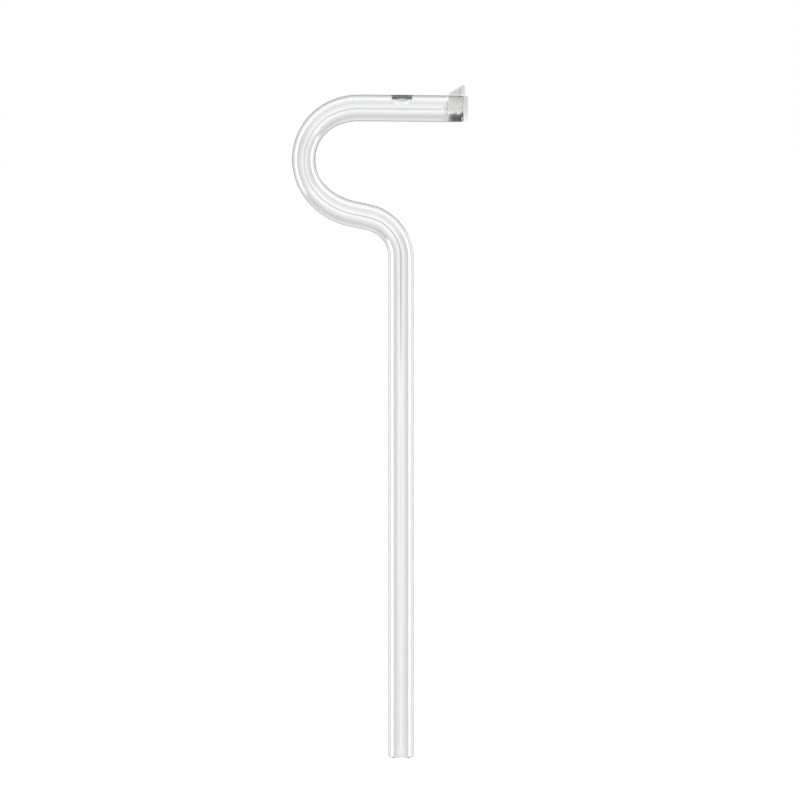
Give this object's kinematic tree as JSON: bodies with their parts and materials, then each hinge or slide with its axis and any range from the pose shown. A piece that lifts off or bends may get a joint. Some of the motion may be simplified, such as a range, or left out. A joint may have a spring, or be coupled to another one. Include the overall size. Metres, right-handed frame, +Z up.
{
  "type": "glass drinking straw",
  "caption": "S-bent glass drinking straw with a side arm, an oval sip hole in the upper side of the arm and a pull-out silicone end stopper.",
  "frame": {"origin": "level with the stem's lower rim, under the middle of the whole outline", "axes": "+Z up along the stem; the bends lie in the XZ plane and the arm with its stopper points to +X"},
  "size_m": [0.053, 0.008, 0.2028],
  "materials": {
    "clear_glass": "clear, fire-polished",
    "translucent_silicone": "translucent, satin"
  },
  "bodies": {
    "tube": {"straw_tube": "clear_glass"},
    "stopper": {"end_stopper": "translucent_silicone"}
  },
  "joints": [
    {"name": "stopper_pull", "type": "slide", "parent": "tube", "child": "stopper", "axis": [1, 0, -0.0087], "range_m": [0, 0.007]}
  ]
}
